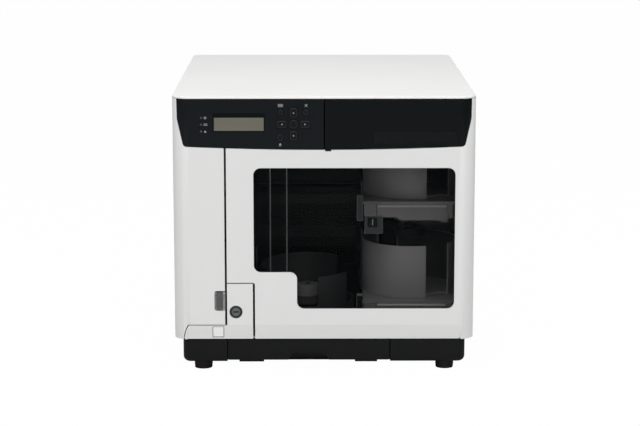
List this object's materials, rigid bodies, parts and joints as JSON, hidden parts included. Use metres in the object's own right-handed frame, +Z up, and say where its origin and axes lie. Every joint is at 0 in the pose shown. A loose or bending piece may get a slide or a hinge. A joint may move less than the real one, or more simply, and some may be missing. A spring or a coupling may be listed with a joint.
{
  "type": "disc label printer",
  "caption": "Desktop disc label printer: white case with two front doors, smoked window, black control fascia, swinging disc arm, drives, printer and stackers.",
  "frame": {"origin": "on the floor under the middle of the casing (bounding box bottom centre)", "axes": "+X to the right seen from the front, +Y towards the back, +Z up; the front plane is at y = -0.2465"},
  "size_m": [0.377, 0.493, 0.348],
  "materials": {
    "white_plastic": "satin moulded, light grain",
    "black_plastic": "fine matte grain",
    "black_gloss": "gloss black fascia",
    "smoked_window": "smoked clear plastic",
    "lcd_glass": "grey-green display under a clear pane",
    "button_rubber": "soft matte keys",
    "led_lens": "clear lens, unlit",
    "stacker_grey": "grey moulded",
    "stacker_dark": "dark grey moulded",
    "shelf_grey": "dark grey moulded",
    "liner_black": "matte black lining",
    "steel": "plated sheet",
    "steel_bright": "ground rod",
    "grey_metal": "light grey powder coat",
    "aluminium": "cast",
    "rubber": "black",
    "board_green": "circuit board",
    "ink_shell": "black cartridge",
    "key_metal": "nickel plated",
    "clear_grey": "light grey moulded"
  },
  "bodies": {
    "root": {"base_pan": "black_plastic", "rubber_feet": "rubber", "chassis_deck": "steel", "disc_bay_liner": "liner_black", "top_cover": "white_plastic", "left_side_panel": "white_plastic", "right_side_panel": "white_plastic", "rear_panel": "grey_metal", "fan_frame": "black_plastic", "rear_sockets": "black_plastic", "fascia_left": "black_gloss", "fascia_right": "black_gloss", "fascia_window": "smoked_window", "lcd_module": "lcd_glass", "status_leds": "led_lens", "control_board": "board_green", "front_trim": "white_plastic", "lock_barrel": "key_metal", "hinge_pins": "steel", "upper_shelf": "shelf_grey", "lower_shelf": "shelf_grey", "drive_1": "liner_black", "drive_2": "liner_black", "drive_cage": "steel", "printer_frame": "steel", "carriage_rails": "steel_bright", "ink_bay": "liner_black", "ink_cartridges": "ink_shell", "swing_motor": "steel", "swing_belt": "rubber", "power_supply": "steel", "main_board": "board_green"},
    "door": {"door_shell": "white_plastic", "door_window": "smoked_window"},
    "ink_cover_body": {"ink_cover": "white_plastic"},
    "cover_latch_body": {"cover_latch": "stacker_dark"},
    "lock_plug_body": {"lock_plug": "key_metal"},
    "power_button_body": {"power_button": "white_plastic"},
    "drawer_body": {"drawer": "black_plastic"},
    "mast": {"arm_mast": "steel_bright"},
    "screw": {"lift_screw": "steel"},
    "arm": {"arm_carriage": "stacker_dark", "disc_picker": "stacker_dark"},
    "pulley": {"motor_pulley": "aluminium"},
    "tray_1": {"drive_1_tray": "stacker_dark"},
    "tray_2": {"drive_2_tray": "stacker_dark"},
    "print_tray": {"printer_tray": "stacker_dark"},
    "carriage": {"print_carriage": "black_plastic"},
    "fan": {"fan_rotor": "black_plastic"},
    "cup_1": {"stacker_1": "stacker_grey"},
    "cup_2": {"stacker_2": "stacker_grey"},
    "cup_3": {"stacker_3": "stacker_dark"},
    "key_menu": {"button_menu": "button_rubber"},
    "key_cancel": {"button_cancel": "button_rubber"},
    "key_eject": {"button_eject": "button_rubber"},
    "key_ok": {"button_ok": "button_rubber"},
    "key_up": {"button_up": "button_rubber"},
    "key_down": {"button_down": "button_rubber"},
    "key_left": {"button_left": "button_rubber"},
    "key_right": {"button_right": "button_rubber"}
  },
  "joints": [
    {"name": "door_hinge", "type": "hinge", "parent": "root", "child": "door", "pos_m": [0.1845, -0.2045, 0.19], "axis": [0, 0, 1], "range_deg": [0, 92]},
    {"name": "ink_cover_hinge", "type": "hinge", "parent": "root", "child": "ink_cover_body", "pos_m": [-0.1845, -0.2045, 0.19], "axis": [0, 0, -1], "range_deg": [0, 92]},
    {"name": "cover_latch_pull", "type": "hinge", "parent": "ink_cover_body", "child": "cover_latch_body", "pos_m": [-0.131, -0.2413, 0.099], "axis": [-1, 0, 0], "range_deg": [0, 24], "stiffness_Nm_per_rad": 0.02},
    {"name": "key_turn", "type": "hinge", "parent": "root", "child": "lock_plug_body", "pos_m": [-0.1107, -0.2385, 0.0761], "axis": [0, 1, 0], "range_deg": [0, 90]},
    {"name": "power_press", "type": "slide", "parent": "root", "child": "power_button_body", "axis": [0, 1, 0], "range_m": [0, 0.001], "stiffness_N_per_m": 400},
    {"name": "drawer_slide", "type": "slide", "parent": "root", "child": "drawer_body", "axis": [0, -1, 0], "range_m": [0, 0.2]},
    {"name": "arm_swing", "type": "hinge", "parent": "root", "child": "mast", "pos_m": [0.066, -0.0315, 0.16], "axis": [0, 0, -1], "range_deg": [0, 85]},
    {"name": "arm_lift", "type": "slide", "parent": "mast", "child": "arm", "axis": [0, 0, 1], "range_m": [-0.052, 0.008]},
    {"name": "screw_spin", "type": "hinge", "parent": "mast", "child": "screw", "pos_m": [0.066, -0.0315, 0.16], "axis": [0, 0, 1], "range_deg": [-1561, 241]},
    {"name": "pulley_spin", "type": "hinge", "parent": "root", "child": "pulley", "pos_m": [0.114, 0.0215, 0.05], "axis": [0, 0, -1], "range_deg": [0, 181]},
    {"name": "tray_1_slide", "type": "slide", "parent": "root", "child": "tray_1", "axis": [0, -1, 0], "range_m": [0, 0.145]},
    {"name": "tray_2_slide", "type": "slide", "parent": "root", "child": "tray_2", "axis": [0, -1, 0], "range_m": [0, 0.145]},
    {"name": "print_tray_slide", "type": "slide", "parent": "root", "child": "print_tray", "axis": [0, -1, 0], "range_m": [0, 0.145]},
    {"name": "carriage_slide", "type": "slide", "parent": "root", "child": "carriage", "axis": [1, 0, 0], "range_m": [-0.046, 0.046]},
    {"name": "fan_spin", "type": "hinge", "parent": "root", "child": "fan", "pos_m": [0.096, 0.2, 0.232], "axis": [0, 1, 0], "continuous": true},
    {"name": "stacker_1_slide", "type": "slide", "parent": "root", "child": "cup_1", "axis": [0, -1, 0], "range_m": [0, 0.03]},
    {"name": "stacker_2_slide", "type": "slide", "parent": "root", "child": "cup_2", "axis": [0, -1, 0], "range_m": [0, 0.03]},
    {"name": "stacker_3_slide", "type": "slide", "parent": "root", "child": "cup_3", "axis": [0, -1, 0], "range_m": [0, 0.05]},
    {"name": "menu_press", "type": "slide", "parent": "root", "child": "key_menu", "axis": [0, 1, 0], "range_m": [0, 0.001], "stiffness_N_per_m": 300},
    {"name": "cancel_press", "type": "slide", "parent": "root", "child": "key_cancel", "axis": [0, 1, 0], "range_m": [0, 0.001], "stiffness_N_per_m": 300},
    {"name": "eject_press", "type": "slide", "parent": "root", "child": "key_eject", "axis": [0, 1, 0], "range_m": [0, 0.001], "stiffness_N_per_m": 300},
    {"name": "ok_press", "type": "slide", "parent": "root", "child": "key_ok", "axis": [0, 1, 0], "range_m": [0, 0.001], "stiffness_N_per_m": 300},
    {"name": "up_press", "type": "slide", "parent": "root", "child": "key_up", "axis": [0, 1, 0], "range_m": [0, 0.001], "stiffness_N_per_m": 300},
    {"name": "down_press", "type": "slide", "parent": "root", "child": "key_down", "axis": [0, 1, 0], "range_m": [0, 0.001], "stiffness_N_per_m": 300},
    {"name": "left_press", "type": "slide", "parent": "root", "child": "key_left", "axis": [0, 1, 0], "range_m": [0, 0.001], "stiffness_N_per_m": 300},
    {"name": "right_press", "type": "slide", "parent": "root", "child": "key_right", "axis": [0, 1, 0], "range_m": [0, 0.001], "stiffness_N_per_m": 300}
  ],
  "couplings": [
    {"joint": "screw_spin", "follows": "arm_lift", "rad_per_m": 523.6},
    {"joint": "pulley_spin", "follows": "arm_swing", "ratio": 2.125}
  ]
}
